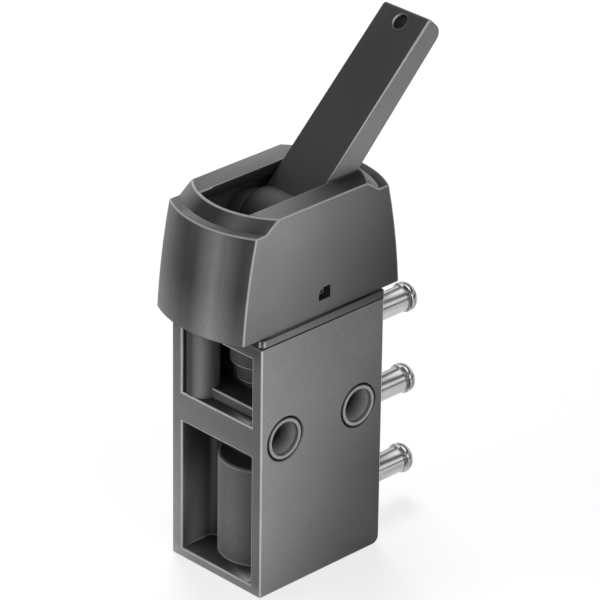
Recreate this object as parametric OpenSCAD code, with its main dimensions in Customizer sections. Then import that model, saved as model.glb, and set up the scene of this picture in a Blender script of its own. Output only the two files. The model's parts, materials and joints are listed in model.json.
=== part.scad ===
// Toggle lever valve: a three-port poppet valve worked by a cam lever, with barbed tube ports.
// Origin: centre of the lower face of the housing. +Z is up, -Y the pocket side, +Y the port side.

/* [Housing] */
// Width across the side faces of the housing and the carrier plate
housing_w = 18; // [17:0.5:21]
// Depth from the pocket face to the port face
housing_d = 23.4; // [22.8:0.1:26]
// Height of the housing up to the carrier plate
housing_h = 39.1; // [38:0.1:43]
// Radius of the lower edge on the port side
housing_edge_r = 1.2; // [0.4:0.1:3]

/* [Pockets] */
// Wall between a pocket and the side face
pocket_wall = 1.95; // [1.4:0.05:2.3]
// Depth of the pockets behind the front face
pocket_depth = 6; // [5:0.1:6.6]
// Floor under the lower pocket
pocket_floor = 1.4; // [1:0.1:2.6]
// Radius of the upright corners at the back of the pockets
pocket_corner_r = 1; // [0.3:0.1:2]
// Web left above the upper pocket
pocket_top_web = 2.1; // [1.6:0.1:2.6]
// Height of the bar between the pockets
bar_h = 4.6; // [4.2:0.1:6]
// Thickness of the bar in front of the mounting boss
bar_t = 2.1; // [1.4:0.1:2.2]
// Height of the middle of the bar above the mounting holes
bar_rise = 0.35; // [0:0.05:0.6]
// Height of the boss around the front mounting hole
boss_h = 8.1; // [7:0.1:8.5]
// Radius of the barrel in the lower pocket
barrel_r = 5.9; // [5:0.1:6.3]
// Distance from the valve axis forward to the barrel axis
barrel_forward = 3.3; // [2.6:0.1:4]
// Height of the top face of the barrel
barrel_top = 16.8; // [12:0.1:17.5]
// Radius of the neck that hangs in the upper pocket
neck_r = 3.4; // [3.1:0.1:3.9]
// Height of the neck from its lower rim to its shoulder
neck_h = 2.7; // [1:0.1:3.5]
// Radius of the neck above its shoulder
shoulder_r = 4.3; // [4:0.1:4.4]
// Distance from the top of the housing down to the lower rim of the neck
neck_drop = 10.1; // [7:0.1:10.8]
// Radius of the column at the side of the upper pocket
column_r = 2.4; // [1.4:0.1:2.5]
// Distance from the side wall of the pocket to the column's axis
column_in = 1.65; // [1:0.05:1.9]
// Distance from the front face back to the column's axis
column_back = 2.5; // [2.5:0.1:3.4]

/* [Mounting] */
// Radius of the hole through each mounting bush
mount_r = 2.4; // [2:0.05:2.6]
// Outer radius of each mounting bush
bush_r = 3.2; // [2.9:0.05:3.25]
// Distance between the two mounting holes
mount_pitch = 14.2; // [14:0.1:14.8]
// Height of the mounting holes above the outlet port
mount_above_port = 5.55; // [5.5:0.05:6.2]

/* [Ports] */
// Height of the supply port
port_first_z = 5.1; // [4.5:0.1:5.6]
// Distance between neighbouring ports
port_pitch = 13.1; // [12.8:0.1:13.8]
// Radius of the barb shank held in the housing
shank_r = 2; // [1.7:0.05:2.1]
// Depth of the barb shank in the housing
shank_len = 5; // [3.5:0.1:6.5]
// Radius of the passage from a port to the valve bore
passage_r = 0.9; // [0.6:0.05:1.1]
// Thickness of the sealing washer under a barb
washer_t = 0.5; // [0.3:0.1:1]
// Outer radius of the sealing washer
washer_r = 3.2; // [2.9:0.1:3.6]
// Width across the flats of the barb hexagon
hex_flats = 6; // [5.4:0.1:7]
// Length of the barb hexagon
hex_len = 2.2; // [1.5:0.1:3]
// Radius of the barb stem
stem_r = 1.9; // [1.5:0.05:2]
// Distance from the port face to the tip of a barb
barb_reach = 14.2; // [12:0.1:18]
// Largest radius of the barb head
barb_r = 2.2; // [2.05:0.05:2.5]
// Length of the barb head
barb_len = 1.5; // [1.2:0.1:2.6]
// Length of the cylindrical land on the barb head
barb_land = 0.35; // [0.2:0.05:0.6]
// Radius of the hole through a barb
barb_bore_r = 1; // [0.6:0.05:1.2]

/* [Valve train] */
// Radius of the valve bore
bore_r = 3.2; // [3.05:0.05:3.3]
// Floor under the valve bore
bore_floor = 3; // [2:0.1:3.4]
// Height of the valve seat above the supply port
seat_above_port = 6.5; // [6.2:0.1:7]
// Length of the seat insert
seat_len = 3.2; // [2.4:0.1:3.4]
// Radius of the hole in the seat
seat_hole_r = 1.9; // [1.75:0.05:2]
// Height of the centre guide above the outlet port
guide_above_port = 3.5; // [2.5:0.1:4]
// Length of the centre guide
guide_len = 4.5; // [4:0.1:5.5]
// Length of the top guide
top_guide_len = 4.3; // [3.2:0.1:4.6]
// Radius of the plunger tube
plunger_r = 1.5; // [1.35:0.05:1.6]
// Radius of the exhaust hole in the plunger
plunger_bore_r = 0.8; // [0.5:0.05:1]
// Radius of the plunger head
head_r = 2.6; // [2.5:0.05:2.75]
// Height of the plunger head
head_h = 2; // [1.5:0.1:2.2]
// Radius of the poppet disc
poppet_r = 2.6; // [2.45:0.05:2.8]
// Thickness of the poppet disc
poppet_t = 1.6; // [1.2:0.1:2]
// Thickness of the rubber disc in the poppet
poppet_seal_t = 1; // [0.7:0.1:1.3]
// Radius of the section of the sealing rings
ring_section_r = 0.3; // [0.25:0.01:0.35]

/* [Springs] */
// Radius of the spring wire
wire_r = 0.22; // [0.15:0.01:0.26]
// Turns of the spring under the poppet
poppet_spring_turns = 5; // [3:1:6]
// Turns of the plunger return spring
return_spring_turns = 4; // [3:1:5]

/* [Lever] */
// Width of the lever
lever_w = 9; // [8:0.1:10]
// Length of the lever from its pivot to its tip
lever_len = 35; // [25:0.5:45]
// Distance from the pivot line to the back face
lever_back = 2.7; // [2.2:0.05:2.9]
// Distance from the pivot line to the front face at the pivot
lever_front = 1.74; // [1.4:0.02:2.2]
// Taper of the front face in degrees
lever_taper = 1.5; // [0:0.1:2]
// Radius of the lever hub
hub_r = 4.7; // [4.2:0.05:4.74]
// Radius of the round at each end of the hub
hub_round = 1.2; // [0.3:0.1:1.6]
// Radius of the round at the back of the tip
tip_round_r = 1.5; // [0.6:0.1:2]
// Radius of the hole through the tip
tip_hole_r = 1.2; // [0.8:0.05:1.5]
// Distance from the tip to the centre of its hole
tip_hole_in = 1.95; // [1.9:0.05:4]
// Radius of the cam disc
cam_r = 5.55; // [5.5:0.01:5.7]
// Width of the cam
cam_w = 4.4; // [3:0.1:4.6]
// Lean of the lever from the horizontal at rest, in degrees
lever_lean = 45; // [44:1:48]
// Angle the lever turns through, in degrees
lever_throw = 90; // [70:1:92]
// Travel of the plunger over the full throw
stroke = 1.6; // [1.4:0.05:1.7]
// Travel of the poppet over the full throw
poppet_lift = 1; // [0.8:0.05:1.05]
// Radius of the pivot pin
pin_r = 1.25; // [1:0.05:1.6]

/* [Carrier] */
// Thickness of the plate that lies flush with the housing
plate_t = 1.3; // [1.1:0.1:2]
// Thickness of the flange that closes the underside of the cap
flange_t = 1.4; // [1:0.1:1.6]
// Height of the pivot above the housing
pivot_above = 11.6; // [11.5:0.1:12]
// Radius of the round head of each ear
ear_r = 3.6; // [3.2:0.1:4.4]
// Distance that the snap pegs reach into the wall of the cap
snap_reach = 0.4; // [0.3:0.05:0.9]
// Radius of the locating pegs under the plate
locator_r = 1; // [0.7:0.05:1.1]
// Length of the locating pegs
locator_len = 1.4; // [1:0.1:1.5]

/* [Cap] */
// Width across the side faces of the cap
cap_w = 17.3; // [16.6:0.1:18]
// Height of the cap up to its ledge
cap_h = 15.6; // [15.2:0.1:17]
// Height of the collar above the ledge
collar_h = 1.6; // [1:0.1:2]
// Wall of the cap
cap_wall = 1.6; // [1.3:0.05:1.8]
// Radius of the cap ends at the lower edge
cap_r = 18.15; // [17.8:0.05:20]
// Radius of the cap ends at the ledge
ledge_r = 16.15; // [15.8:0.05:17.6]
// Bulge of the cap ends between those edges
cap_crown = 0.28; // [0:0.02:0.4]
// Lower radius of the collar
collar_low_r = 14.6; // [14:0.1:15.2]
// Upper radius of the collar
collar_top_r = 12.8; // [12.7:0.05:13.6]
// Distance of each end's centre past the middle of the cap
end_offset = 1.1; // [0.6:0.1:1.4]
// Radius of the ends of the slot
slot_r = 12.4; // [12:0.05:12.5]
// Width of the snap window in each side of the cap
window_w = 2.2; // [1.6:0.1:3]
// Height of the snap window
window_h = 1.9; // [1.6:0.1:2.4]
// Radius of the round at the upper front corner of the snap window
window_round = 1.2; // [0.2:0.1:1.5]
// Height of the middle of the snap window above the lower edge of the cap
window_above = 3.2; // [3:0.1:4]
// Distance of the snap window from the middle towards the ports
window_shift = 0.4; // [0:0.1:1]

/* [Clearances] */
// Clearance of a part that is pressed or glued in
press_gap = 0.01; // [0.005:0.005:0.02]
// Clearance of the plunger and the pin in their bores
run_gap = 0.04; // [0.02:0.01:0.08]
// Gap at the faces that meet at a stop
stop_gap = 0.06; // [0.04:0.01:0.1]
// Side clearance of the lever in its slot
side_gap = 0.3; // [0.2:0.05:0.4]
// Clearance between the cap and what it covers
cover_gap = 0.1; // [0.05:0.01:0.2]

/* [Hidden] */
$fn = 64;

half_w = housing_w / 2;
half_d = housing_d / 2;
cap_half = cap_w / 2;
over = 1;                                    // how far a cut runs past a face
pocket_half = half_w - pocket_wall;
pocket_back_y = -half_d + pocket_depth;
pocket_top = housing_h - pocket_top_web;
mount_y = mount_pitch / 2;
mount_z = port_z(1) + mount_above_port;
bar_z = mount_z + bar_rise - bar_h / 2;
bar_top = bar_z + bar_h;

seat_z = port_z(0) + seat_above_port;
guide_z = port_z(1) + guide_above_port;
outer_ring_z = guide_z + 0.72 * guide_len;   // the guide's two rings sit apart from each other
inner_ring_z = guide_z + 0.28 * guide_len;
top_guide_z = housing_h - top_guide_len;
groove_h = 2 * ring_section_r + 0.2;
groove_depth = 2 * ring_section_r;
insert_r = bore_r - press_gap;
stem_hole_r = plunger_r + run_gap;
poppet_top = seat_z - stop_gap / 2;
poppet_low = poppet_top - poppet_t - poppet_seal_t;
cup_wall = 0.4;
cup_r = poppet_r - cup_wall;
seal_proud = 0.2;                            // how far the rubber disc stands over its cup
spigot_r = 1.2;
spigot_h = 1.2;
coil_gap = 0.2;                              // radial clearance of a spring around what it is on

plate_z = housing_h;
cap_z = plate_z + plate_t;
flange_top = cap_z + flange_t;
pivot_z = housing_h + pivot_above;
ledge_z = cap_z + cap_h;
cap_top = ledge_z + collar_h;
slot_half = lever_w / 2 + side_gap;
ear_out = cap_half - cap_wall - cover_gap;
thrust_gap = 0.05;                           // axial play of the lever hub between the ears
thrust_r = 2.4;
window_z = cap_z + window_above;
locator_x = 6;
locator_in = 3.2;                            // distance of a locating peg from the front or port face
head_floor = 0.6;                            // head left above the end of the plunger

cam_e = stroke / (cos(lever_lean) - cos(lever_lean + lever_throw));
cam_rest = cam_r - cam_e * cos(lever_lean);
head_top = pivot_z - cam_rest - stop_gap;
head_low = head_top - head_h;
plunger_low = poppet_top + stroke - poppet_lift + stop_gap / 2;
cross_z = port_z(2) + stroke / 2;

function port_z(i) = port_first_z + i * port_pitch;
function arc(cx, cy, r, from, to, steps = 8) =
    [for (i = [0:steps]) let (a = from + (to - from) * i / steps) [cx + r * cos(a), cy + r * sin(a)]];

// Extrudes a drawing of the Y-Z plane across X, centred on X = 0
module across(width) {
    rotate([90, 0, 90]) linear_extrude(width, center = true) children();
}

// Turns an axis along Z into one along +Y
module along_y() {
    rotate([-90, 0, 0]) children();
}

// Ring of round section that lies flat about the valve axis
module seal_ring(mean_r, z) {
    translate([0, 0, z]) rotate_extrude() translate([mean_r, 0]) circle(ring_section_r, $fn = 24);
}

// Closed helical wire between two heights
module coil(mean_r, wire, z0, z1, turns) {
    per_turn = 16;
    sides = 8;
    rings = turns * per_turn;
    rise = z1 - z0 - 2 * wire;
    points = [
        for (i = [0:rings]) for (j = [0:sides - 1])
            let (a = 360 * i / per_turn, b = 360 * j / sides, r = mean_r + wire * cos(b))
            [r * cos(a), r * sin(a), z0 + wire + rise * i / rings + wire * sin(b)]
    ];
    walls = [
        for (i = [0:rings - 1]) for (j = [0:sides - 1])
            let (k = (j + 1) % sides)
            [i * sides + j, (i + 1) * sides + j, (i + 1) * sides + k, i * sides + k]
    ];
    start = [[for (j = [0:sides - 1]) j]];
    end = [[for (j = [sides - 1:-1:0]) rings * sides + j]];
    polyhedron(points, concat(walls, start, end), convexity = 8);
}

// Plan of a pocket: square at the front, rounded at its back corners
module pocket_plan() {
    r = pocket_corner_r;
    straight = pocket_depth + over - r;
    translate([-pocket_half, -half_d - over]) square([2 * pocket_half, straight]);
    translate([-pocket_half + r, pocket_back_y - r - 0.01]) square([2 * (pocket_half - r), r + 0.01]);
    for (side = [-1, 1]) translate([side * (pocket_half - r), pocket_back_y - r]) circle(r);
}

module housing_block() {
    r = housing_edge_r;
    across(housing_w) polygon(concat(
        [[-half_d, 0]],
        arc(half_d - r, r, r, -90, 0, 10),
        [[half_d, housing_h], [-half_d, housing_h]]
    ));
}

module housing_pockets() {
    translate([0, 0, pocket_floor]) linear_extrude(bar_z - pocket_floor) pocket_plan();
    translate([0, 0, bar_top]) linear_extrude(pocket_top - bar_top) pocket_plan();
}

// Boss behind the bar that carries the front mounting hole: flat on top, round below
module mounting_boss() {
    front_y = -half_d + bar_t;
    r = boss_h / 2;
    across(housing_w) intersection() {
        union() {
            translate([-mount_y, mount_z]) circle(r);
            translate([-mount_y, mount_z - r]) square([mount_y, boss_h]);
            translate([-half_d, mount_z]) square([half_d, r]);
        }
        translate([front_y, 0]) square([-front_y, housing_h]);
    }
}

// Barrel of the lower pocket, with a small chamfer around its top face
module barrel() {
    chamfer = 0.35;
    translate([0, -barrel_forward, 0]) {
        cylinder(r = barrel_r, h = barrel_top - chamfer);
        translate([0, 0, barrel_top - chamfer])
            cylinder(r1 = barrel_r, r2 = barrel_r - chamfer, h = chamfer);
    }
}

// Stepped neck that hangs from the top of the upper pocket
module neck() {
    low = housing_h - neck_drop;
    translate([0, -barrel_forward, 0]) {
        translate([0, 0, low]) cylinder(r = neck_r, h = neck_drop);
        translate([0, 0, low + neck_h]) cylinder(r = shoulder_r, h = neck_drop - neck_h);
    }
}

module column() {
    sunk = 0.5;                              // overlap with the web above and the bar below
    translate([-pocket_half + column_in, -half_d + column_back, bar_top - sunk])
        cylinder(r = column_r, h = pocket_top - bar_top + 2 * sunk);
}

module mount_bore(y, r) {
    translate([0, y, mount_z]) rotate([0, 90, 0]) cylinder(r = r, h = housing_w + 2 * over, center = true);
}

// Hole for a bush, with a chamfer that leaves a thin groove around the bush at each side face
module bush_hole(y) {
    chamfer = 0.3;
    mount_bore(y, bush_r + press_gap);
    for (side = [0, 180]) translate([0, y, mount_z]) rotate([0, 90, side])
        translate([0, 0, half_w - chamfer])
            cylinder(r1 = bush_r, r2 = bush_r + 2 * chamfer, h = 2 * chamfer);
}

module port_hole(z) {
    translate([0, half_d - shank_len, z]) along_y() cylinder(r = shank_r + press_gap, h = shank_len + over);
    translate([0, 0, z]) along_y() cylinder(r = passage_r, h = half_d - shank_len + 0.5);
}

module housing() {
    color("dimgray") difference() {
        union() {
            difference() {
                housing_block();
                housing_pockets();
            }
            mounting_boss();
            barrel();
            neck();
            column();
        }
        translate([0, 0, bore_floor]) cylinder(r = bore_r, h = housing_h);
        for (side = [-1, 1]) bush_hole(side * mount_y);
        for (i = [0:2]) port_hole(port_z(i));
        locators(press_gap, 0.1);
    }
}

// A tube right across the housing, held in it like a pressed bearing sleeve
module mounting_bush(y) {
    chamfer = 0.2;
    color("silver") difference() {
        translate([0, y, mount_z]) rotate([0, 90, 0]) {
            cylinder(r = bush_r, h = housing_w - 2 * chamfer, center = true);
            for (side = [0, 180]) rotate([side, 0, 0]) translate([0, 0, half_w - chamfer])
                cylinder(r1 = bush_r, r2 = bush_r - chamfer, h = chamfer);
        }
        mount_bore(y, mount_r);
        for (side = [0, 180]) translate([0, y, mount_z]) rotate([0, 90, side])
            translate([0, 0, half_w - chamfer])
                cylinder(r1 = mount_r, r2 = mount_r + 2 * chamfer, h = 2 * chamfer);
    }
}

module front_mounting_bush() {
    mounting_bush(-mount_y);
}

module rear_mounting_bush() {
    mounting_bush(mount_y);
}

// Outline of a barb's turned body: radius against distance from the port face
module barb_profile() {
    hex_start = washer_t;
    hex_end = washer_t + hex_len;
    head_start = barb_reach - barb_len;
    land_start = head_start + 0.12;          // the back of the head is nearly square
    nose_start = land_start + barb_land;
    nose_r = barb_bore_r + 0.5;
    collar_r = hex_flats / 2 - 0.4;
    tail = 0.2;
    polygon(concat(
        [
            [barb_bore_r, -shank_len], [shank_r - tail, -shank_len], [shank_r, -shank_len + tail],
            [shank_r, hex_start], [collar_r, hex_start], [collar_r, hex_end],
            [stem_r, hex_end], [stem_r, head_start], [barb_r, land_start], [barb_r, nose_start]
        ],
        [for (t = [0.25:0.25:1]) [
            barb_r + (nose_r - barb_r) * (1 - cos(90 * t)),
            nose_start + (barb_reach - nose_start) * sin(90 * t)
        ]],
        [[barb_bore_r, barb_reach]]
    ));
}

module barb(z) {
    hex_r = hex_flats / sqrt(3);
    color("gainsboro") translate([0, half_d, z]) along_y() {
        rotate_extrude() barb_profile();
        translate([0, 0, washer_t]) difference() {
            intersection() {
                cylinder(r = hex_r, h = hex_len, $fn = 6);
                cylinder(r1 = hex_flats / 2 + 0.1 + hex_len, r2 = hex_flats / 2 + 0.1, h = hex_len);
            }
            translate([0, 0, -over]) cylinder(r = stem_r, h = hex_len + 2 * over);
        }
    }
}

module supply_barb() {
    barb(port_z(0));
}

module outlet_barb() {
    barb(port_z(1));
}

module exhaust_barb() {
    barb(port_z(2));
}

module port_seals() {
    color("black") for (i = [0:2]) translate([0, half_d, port_z(i)]) along_y() difference() {
        cylinder(r = washer_r, h = washer_t);
        translate([0, 0, -over]) cylinder(r = shank_r + press_gap, h = washer_t + 2 * over);
    }
}

module poppet_spring() {
    color("silver")
        coil(spigot_r + coil_gap + wire_r, wire_r, bore_floor, poppet_low, poppet_spring_turns);
}

// Cup that holds the rubber disc, with three ribs that guide it in the bore
module poppet() {
    rib_w = 0.8;
    rim_top = poppet_top - seal_proud;
    tail = 0.1;                              // overlap of the spigot with the disc
    color("ivory") {
        difference() {
            translate([0, 0, poppet_low]) cylinder(r = poppet_r, h = rim_top - poppet_low);
            translate([0, 0, poppet_top - poppet_seal_t]) cylinder(r = cup_r, h = poppet_seal_t + over);
        }
        translate([0, 0, poppet_low - spigot_h]) cylinder(r = spigot_r, h = spigot_h + tail);
        for (i = [0:2]) rotate([0, 0, 30 + 120 * i]) intersection() {
            translate([cup_r, -rib_w / 2, poppet_low]) cube([bore_r, rib_w, poppet_t]);
            translate([0, 0, poppet_low]) cylinder(r = bore_r - run_gap, h = poppet_t);
        }
    }
}

module poppet_seal() {
    color("black") translate([0, 0, poppet_top - poppet_seal_t])
        cylinder(r = cup_r - press_gap, h = poppet_seal_t);
}

// Sleeve pressed in the bore, grooved outside for its sealing ring
module bore_sleeve(z, length, hole_r, groove_z) {
    difference() {
        translate([0, 0, z]) cylinder(r = insert_r, h = length);
        translate([0, 0, z - over]) cylinder(r = hole_r, h = length + 2 * over);
        translate([0, 0, groove_z - groove_h / 2]) difference() {
            cylinder(r = bore_r + over, h = groove_h);
            translate([0, 0, -over])
                cylinder(r = bore_r - groove_depth - press_gap, h = groove_h + 2 * over);
        }
    }
}

// Groove inside a guide for the ring that seals on the plunger
module stem_groove(z) {
    translate([0, 0, z - groove_h / 2]) cylinder(r = stem_hole_r + groove_depth, h = groove_h);
}

module seat_insert() {
    color("goldenrod") bore_sleeve(seat_z, seat_len, seat_hole_r, seat_z + seat_len / 2);
}

module seat_seal() {
    color("black") seal_ring(bore_r - ring_section_r - press_gap / 2, seat_z + seat_len / 2);
}

module centre_guide() {
    color("goldenrod") difference() {
        bore_sleeve(guide_z, guide_len, stem_hole_r, outer_ring_z);
        stem_groove(inner_ring_z);
    }
}

module centre_guide_seal() {
    color("black") seal_ring(bore_r - ring_section_r - press_gap / 2, outer_ring_z);
}

module stem_seal() {
    color("black") seal_ring(stem_hole_r + ring_section_r, inner_ring_z);
}

module top_guide() {
    color("goldenrod") difference() {
        translate([0, 0, top_guide_z]) cylinder(r = insert_r, h = top_guide_len);
        translate([0, 0, top_guide_z - over]) cylinder(r = stem_hole_r, h = top_guide_len + 2 * over);
        stem_groove(top_guide_z + top_guide_len / 2);
    }
}

module wiper_ring() {
    color("black") seal_ring(stem_hole_r + ring_section_r, top_guide_z + top_guide_len / 2);
}

// Tube that closes the exhaust way on the poppet and vents through its cross hole
module plunger() {
    vent_r = 0.6;
    bore_end = cross_z + vent_r + 0.2;       // the bore runs a little past the vent
    color("silver") difference() {
        translate([0, 0, plunger_low]) cylinder(r = plunger_r, h = head_top - head_floor - plunger_low);
        translate([0, 0, plunger_low - over])
            cylinder(r = plunger_bore_r, h = bore_end - plunger_low + over);
        translate([0, -plunger_r - over, cross_z]) along_y()
            cylinder(r = vent_r, h = 2 * (plunger_r + over));
    }
}

// Button that the cam presses, fixed on the end of the plunger
module plunger_head() {
    edge = 0.3;
    color("ivory") difference() {
        union() {
            translate([0, 0, head_low]) cylinder(r = head_r, h = head_h - edge);
            translate([0, 0, head_top - edge]) cylinder(r1 = head_r, r2 = head_r - edge / 2, h = edge);
        }
        translate([0, 0, head_low - over])
            cylinder(r = plunger_r + press_gap, h = head_h - head_floor + over);
    }
}

module return_spring() {
    color("silver")
        coil(plunger_r + coil_gap + wire_r, wire_r, housing_h, head_low, return_spring_turns);
}

// Lens-shaped plan of the cap: two round ends, flat sides. The child is radius against height.
module lens(half_width, low, high) {
    intersection() {
        translate([-half_width, -2 * cap_r, low]) cube([2 * half_width, 4 * cap_r, high - low]);
        for_ends() children();
    }
}

module for_ends() {
    intersection() {
        translate([0, end_offset, 0]) rotate_extrude($fn = 180) children();
        translate([0, -end_offset, 0]) rotate_extrude($fn = 180) children();
    }
}

function crown_r(t) = cap_r + (ledge_r - cap_r) * t + 4 * cap_crown * t * (1 - t);

// Radius of the cap ends against height, moved in by a wall
module cap_outline(wall, low, top_cut) {
    steps = 5;
    side_h = cap_h - top_cut;
    polygon(concat(
        [[0, low], [cap_r - wall, low]],
        [for (i = [0:steps]) [crown_r(i / steps) - wall, cap_z + side_h * i / steps]],
        [
            [collar_low_r - wall, ledge_z - top_cut], [collar_top_r - wall, cap_top - top_cut],
            [0, cap_top - top_cut]
        ]
    ));
}

// Pegs between the plate and the top of the housing; the holes use a gap
module locators(gap, deeper) {
    for (x = [-locator_x, locator_x]) for (y = [-1, 1])
        translate([x, y * (half_d - locator_in), plate_z - locator_len - deeper])
            cylinder(r = locator_r + gap, h = locator_len + deeper);
}

module carrier_plate() {
    chamfer = 0.5;
    translate([0, 0, plate_z]) linear_extrude(plate_t) polygon([
        [-half_w + chamfer, -half_d], [half_w - chamfer, -half_d], [half_w, -half_d + chamfer],
        [half_w, half_d], [-half_w, half_d], [-half_w, -half_d + chamfer]
    ]);
}

// Flange inside the skirt of the cap
module carrier_flange() {
    inset = cap_wall + cover_gap;
    lens(ear_out, cap_z, flange_top) translate([0, cap_z]) polygon([
        [0, 0], [crown_r(0) - inset, 0], [crown_r(flange_t / cap_h) - inset, flange_t], [0, flange_t]
    ]);
}

// Ear with a round head, a straight neck and a flared foot
module carrier_ear(side) {
    flare = 1.5;
    low = flange_top - 0.1;
    thick = ear_out - slot_half;
    translate([side * (slot_half + thick / 2), 0, 0]) across(thick) union() {
        translate([0, pivot_z]) circle(ear_r);
        translate([-ear_r, low]) square([2 * ear_r, pivot_z - low]);
        polygon([[-ear_r - flare, low], [ear_r + flare, low], [ear_r, low + flare], [-ear_r, low + flare]]);
    }
}

// Peg on the outer face of an ear that catches the lower edge of a snap window; its top is a lead-in slope
module snap_peg(side) {
    sunk = 0.1;
    half_h = window_h / 2 - cover_gap;
    reach = cover_gap + snap_reach;
    translate([side * ear_out, window_shift, window_z]) mirror([side < 0 ? 1 : 0, 0, 0])
        rotate([90, 0, 0]) linear_extrude(window_w - 2 * cover_gap, center = true)
            polygon([[-sunk, -half_h], [reach, -half_h], [reach, 0], [-sunk, half_h]]);
}

module carrier() {
    color([0.2, 0.2, 0.21]) difference() {
        union() {
            carrier_plate();
            carrier_flange();
            locators(0, 0);
            for (side = [-1, 1]) carrier_ear(side);
            for (side = [-1, 1]) snap_peg(side);
        }
        translate([0, 0, plate_z - over])
            cylinder(r = head_r + side_gap, h = plate_t + flange_t + 2 * over);
        translate([0, 0, pivot_z]) rotate([0, 90, 0])
            cylinder(r = pin_r + press_gap, h = housing_w, center = true);
    }
}

// Opening in the top of the cap, with room for the back of the lever at its stop
module cap_slot() {
    lens(slot_half, ledge_z - collar_h - over, cap_top + over)
        polygon([[0, cap_z], [slot_r, cap_z], [slot_r, cap_top + over], [0, cap_top + over]]);
    relief_w = lever_w + side_gap;
    relief_h = lever_back + 2 * stop_gap;
    translate([0, 0, pivot_z]) rotate([lever_lean, 0, 0])
        translate([-relief_w / 2, hub_r + 2, -relief_h]) cube([relief_w, hub_r + 6, relief_h - 0.5]);
}

// Window with a flat sill and one large round, right through both sides
module snap_windows() {
    half_wide = window_w / 2;
    half_high = window_h / 2;
    across(cap_w + 2 * over) translate([window_shift, window_z]) polygon(concat(
        [[-half_wide, -half_high], [half_wide, -half_high], [half_wide, half_high]],
        arc(window_round - half_wide, half_high - window_round, window_round, 90, 180)
    ));
}

module cap() {
    color([0.16, 0.16, 0.17]) difference() {
        lens(cap_half, cap_z, cap_top) cap_outline(0, cap_z, 0);
        lens(cap_half - cap_wall, cap_z - over, cap_top) cap_outline(cap_wall, cap_z - over, cap_wall);
        cap_slot();
        snap_windows();
    }
}

// Side view of the lever arm with its pivot at the origin and its length along the first axis
module arm_outline() {
    drop = lever_len * tan(lever_taper);
    edge = 0.5;
    polygon(concat(
        [[0, -lever_back]],
        arc(lever_len - tip_round_r, -lever_back + tip_round_r, tip_round_r, -90, 0),
        arc(lever_len - edge, lever_front - drop - edge, edge, 0, 90, 5),
        [[0, lever_front]]
    ));
}

// Eccentric disc, kept only over the arc that meets the plunger head
module cam_outline() {
    spare = 6;                               // degrees kept past the contact at each end of the throw
    first = 270 - lever_lean - lever_throw - spare;
    last = 270 - lever_lean + spare;
    translate([0, cam_e]) intersection() {
        circle(cam_r);
        polygon([[0, 0], for (a = [first, (first + last) / 2, last]) 2 * cam_r * [cos(a), sin(a)]]);
    }
}

// Hub about the pivot, rounded at both ends
module hub() {
    half = lever_w / 2;
    middle = half - hub_round;
    rotate([0, 90, 0]) rotate_extrude() polygon(concat(
        [[0, -half]],
        arc(hub_r - hub_round, -middle, hub_round, -90, 0),
        arc(hub_r - hub_round, middle, hub_round, 0, 90),
        [[0, half]]
    ));
}

module lever() {
    color([0.22, 0.22, 0.23]) translate([0, 0, pivot_z]) rotate([lever_lean, 0, 0]) difference() {
        union() {
            across(lever_w) arm_outline();
            hub();
            across(cam_w) cam_outline();
            across(2 * (slot_half - thrust_gap)) circle(thrust_r);
        }
        rotate([0, 90, 0]) cylinder(r = pin_r + run_gap, h = 2 * lever_w, center = true);
        translate([0, lever_len - tip_hole_in, -2 * lever_back])
            cylinder(r = tip_hole_r, h = 4 * lever_back);
    }
}

module pivot_pin() {
    color("silver") translate([0, 0, pivot_z]) rotate([0, 90, 0])
        cylinder(r = pin_r, h = 2 * ear_out, center = true);
}

housing();
front_mounting_bush();
rear_mounting_bush();
supply_barb();
outlet_barb();
exhaust_barb();
port_seals();
poppet_spring();
poppet();
poppet_seal();
seat_insert();
seat_seal();
centre_guide();
centre_guide_seal();
stem_seal();
top_guide();
wiper_ring();
plunger();
plunger_head();
return_spring();
carrier();
cap();
lever();
pivot_pin();
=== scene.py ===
import json
import math

import bmesh
import bpy
from mathutils import Matrix, Vector

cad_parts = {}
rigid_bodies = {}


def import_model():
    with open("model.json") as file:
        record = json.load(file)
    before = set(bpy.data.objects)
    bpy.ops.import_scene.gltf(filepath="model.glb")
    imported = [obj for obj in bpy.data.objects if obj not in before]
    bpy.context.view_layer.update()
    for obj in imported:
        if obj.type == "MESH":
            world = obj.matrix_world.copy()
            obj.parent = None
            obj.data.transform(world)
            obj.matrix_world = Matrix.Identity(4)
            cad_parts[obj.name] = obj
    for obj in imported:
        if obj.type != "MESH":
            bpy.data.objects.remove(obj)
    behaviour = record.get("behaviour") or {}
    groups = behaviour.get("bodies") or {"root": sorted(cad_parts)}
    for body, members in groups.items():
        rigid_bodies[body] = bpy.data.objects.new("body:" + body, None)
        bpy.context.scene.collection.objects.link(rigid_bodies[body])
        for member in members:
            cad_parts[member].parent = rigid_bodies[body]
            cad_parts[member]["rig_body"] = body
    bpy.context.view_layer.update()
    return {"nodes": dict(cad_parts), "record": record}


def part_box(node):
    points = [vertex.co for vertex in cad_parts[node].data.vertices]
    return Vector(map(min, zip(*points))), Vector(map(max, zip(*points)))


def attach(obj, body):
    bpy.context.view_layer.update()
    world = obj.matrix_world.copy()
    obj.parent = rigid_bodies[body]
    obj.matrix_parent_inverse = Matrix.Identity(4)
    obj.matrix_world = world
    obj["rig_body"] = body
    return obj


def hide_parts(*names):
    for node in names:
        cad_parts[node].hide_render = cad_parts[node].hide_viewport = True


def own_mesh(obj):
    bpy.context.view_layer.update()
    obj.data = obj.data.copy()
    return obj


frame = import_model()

mm = 0.001
scene = bpy.context.scene
cad = frame["nodes"]
print("frame loaded:", len(cad), "nodes")


def link(item):
    scene.collection.objects.link(item)
    return item


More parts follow.
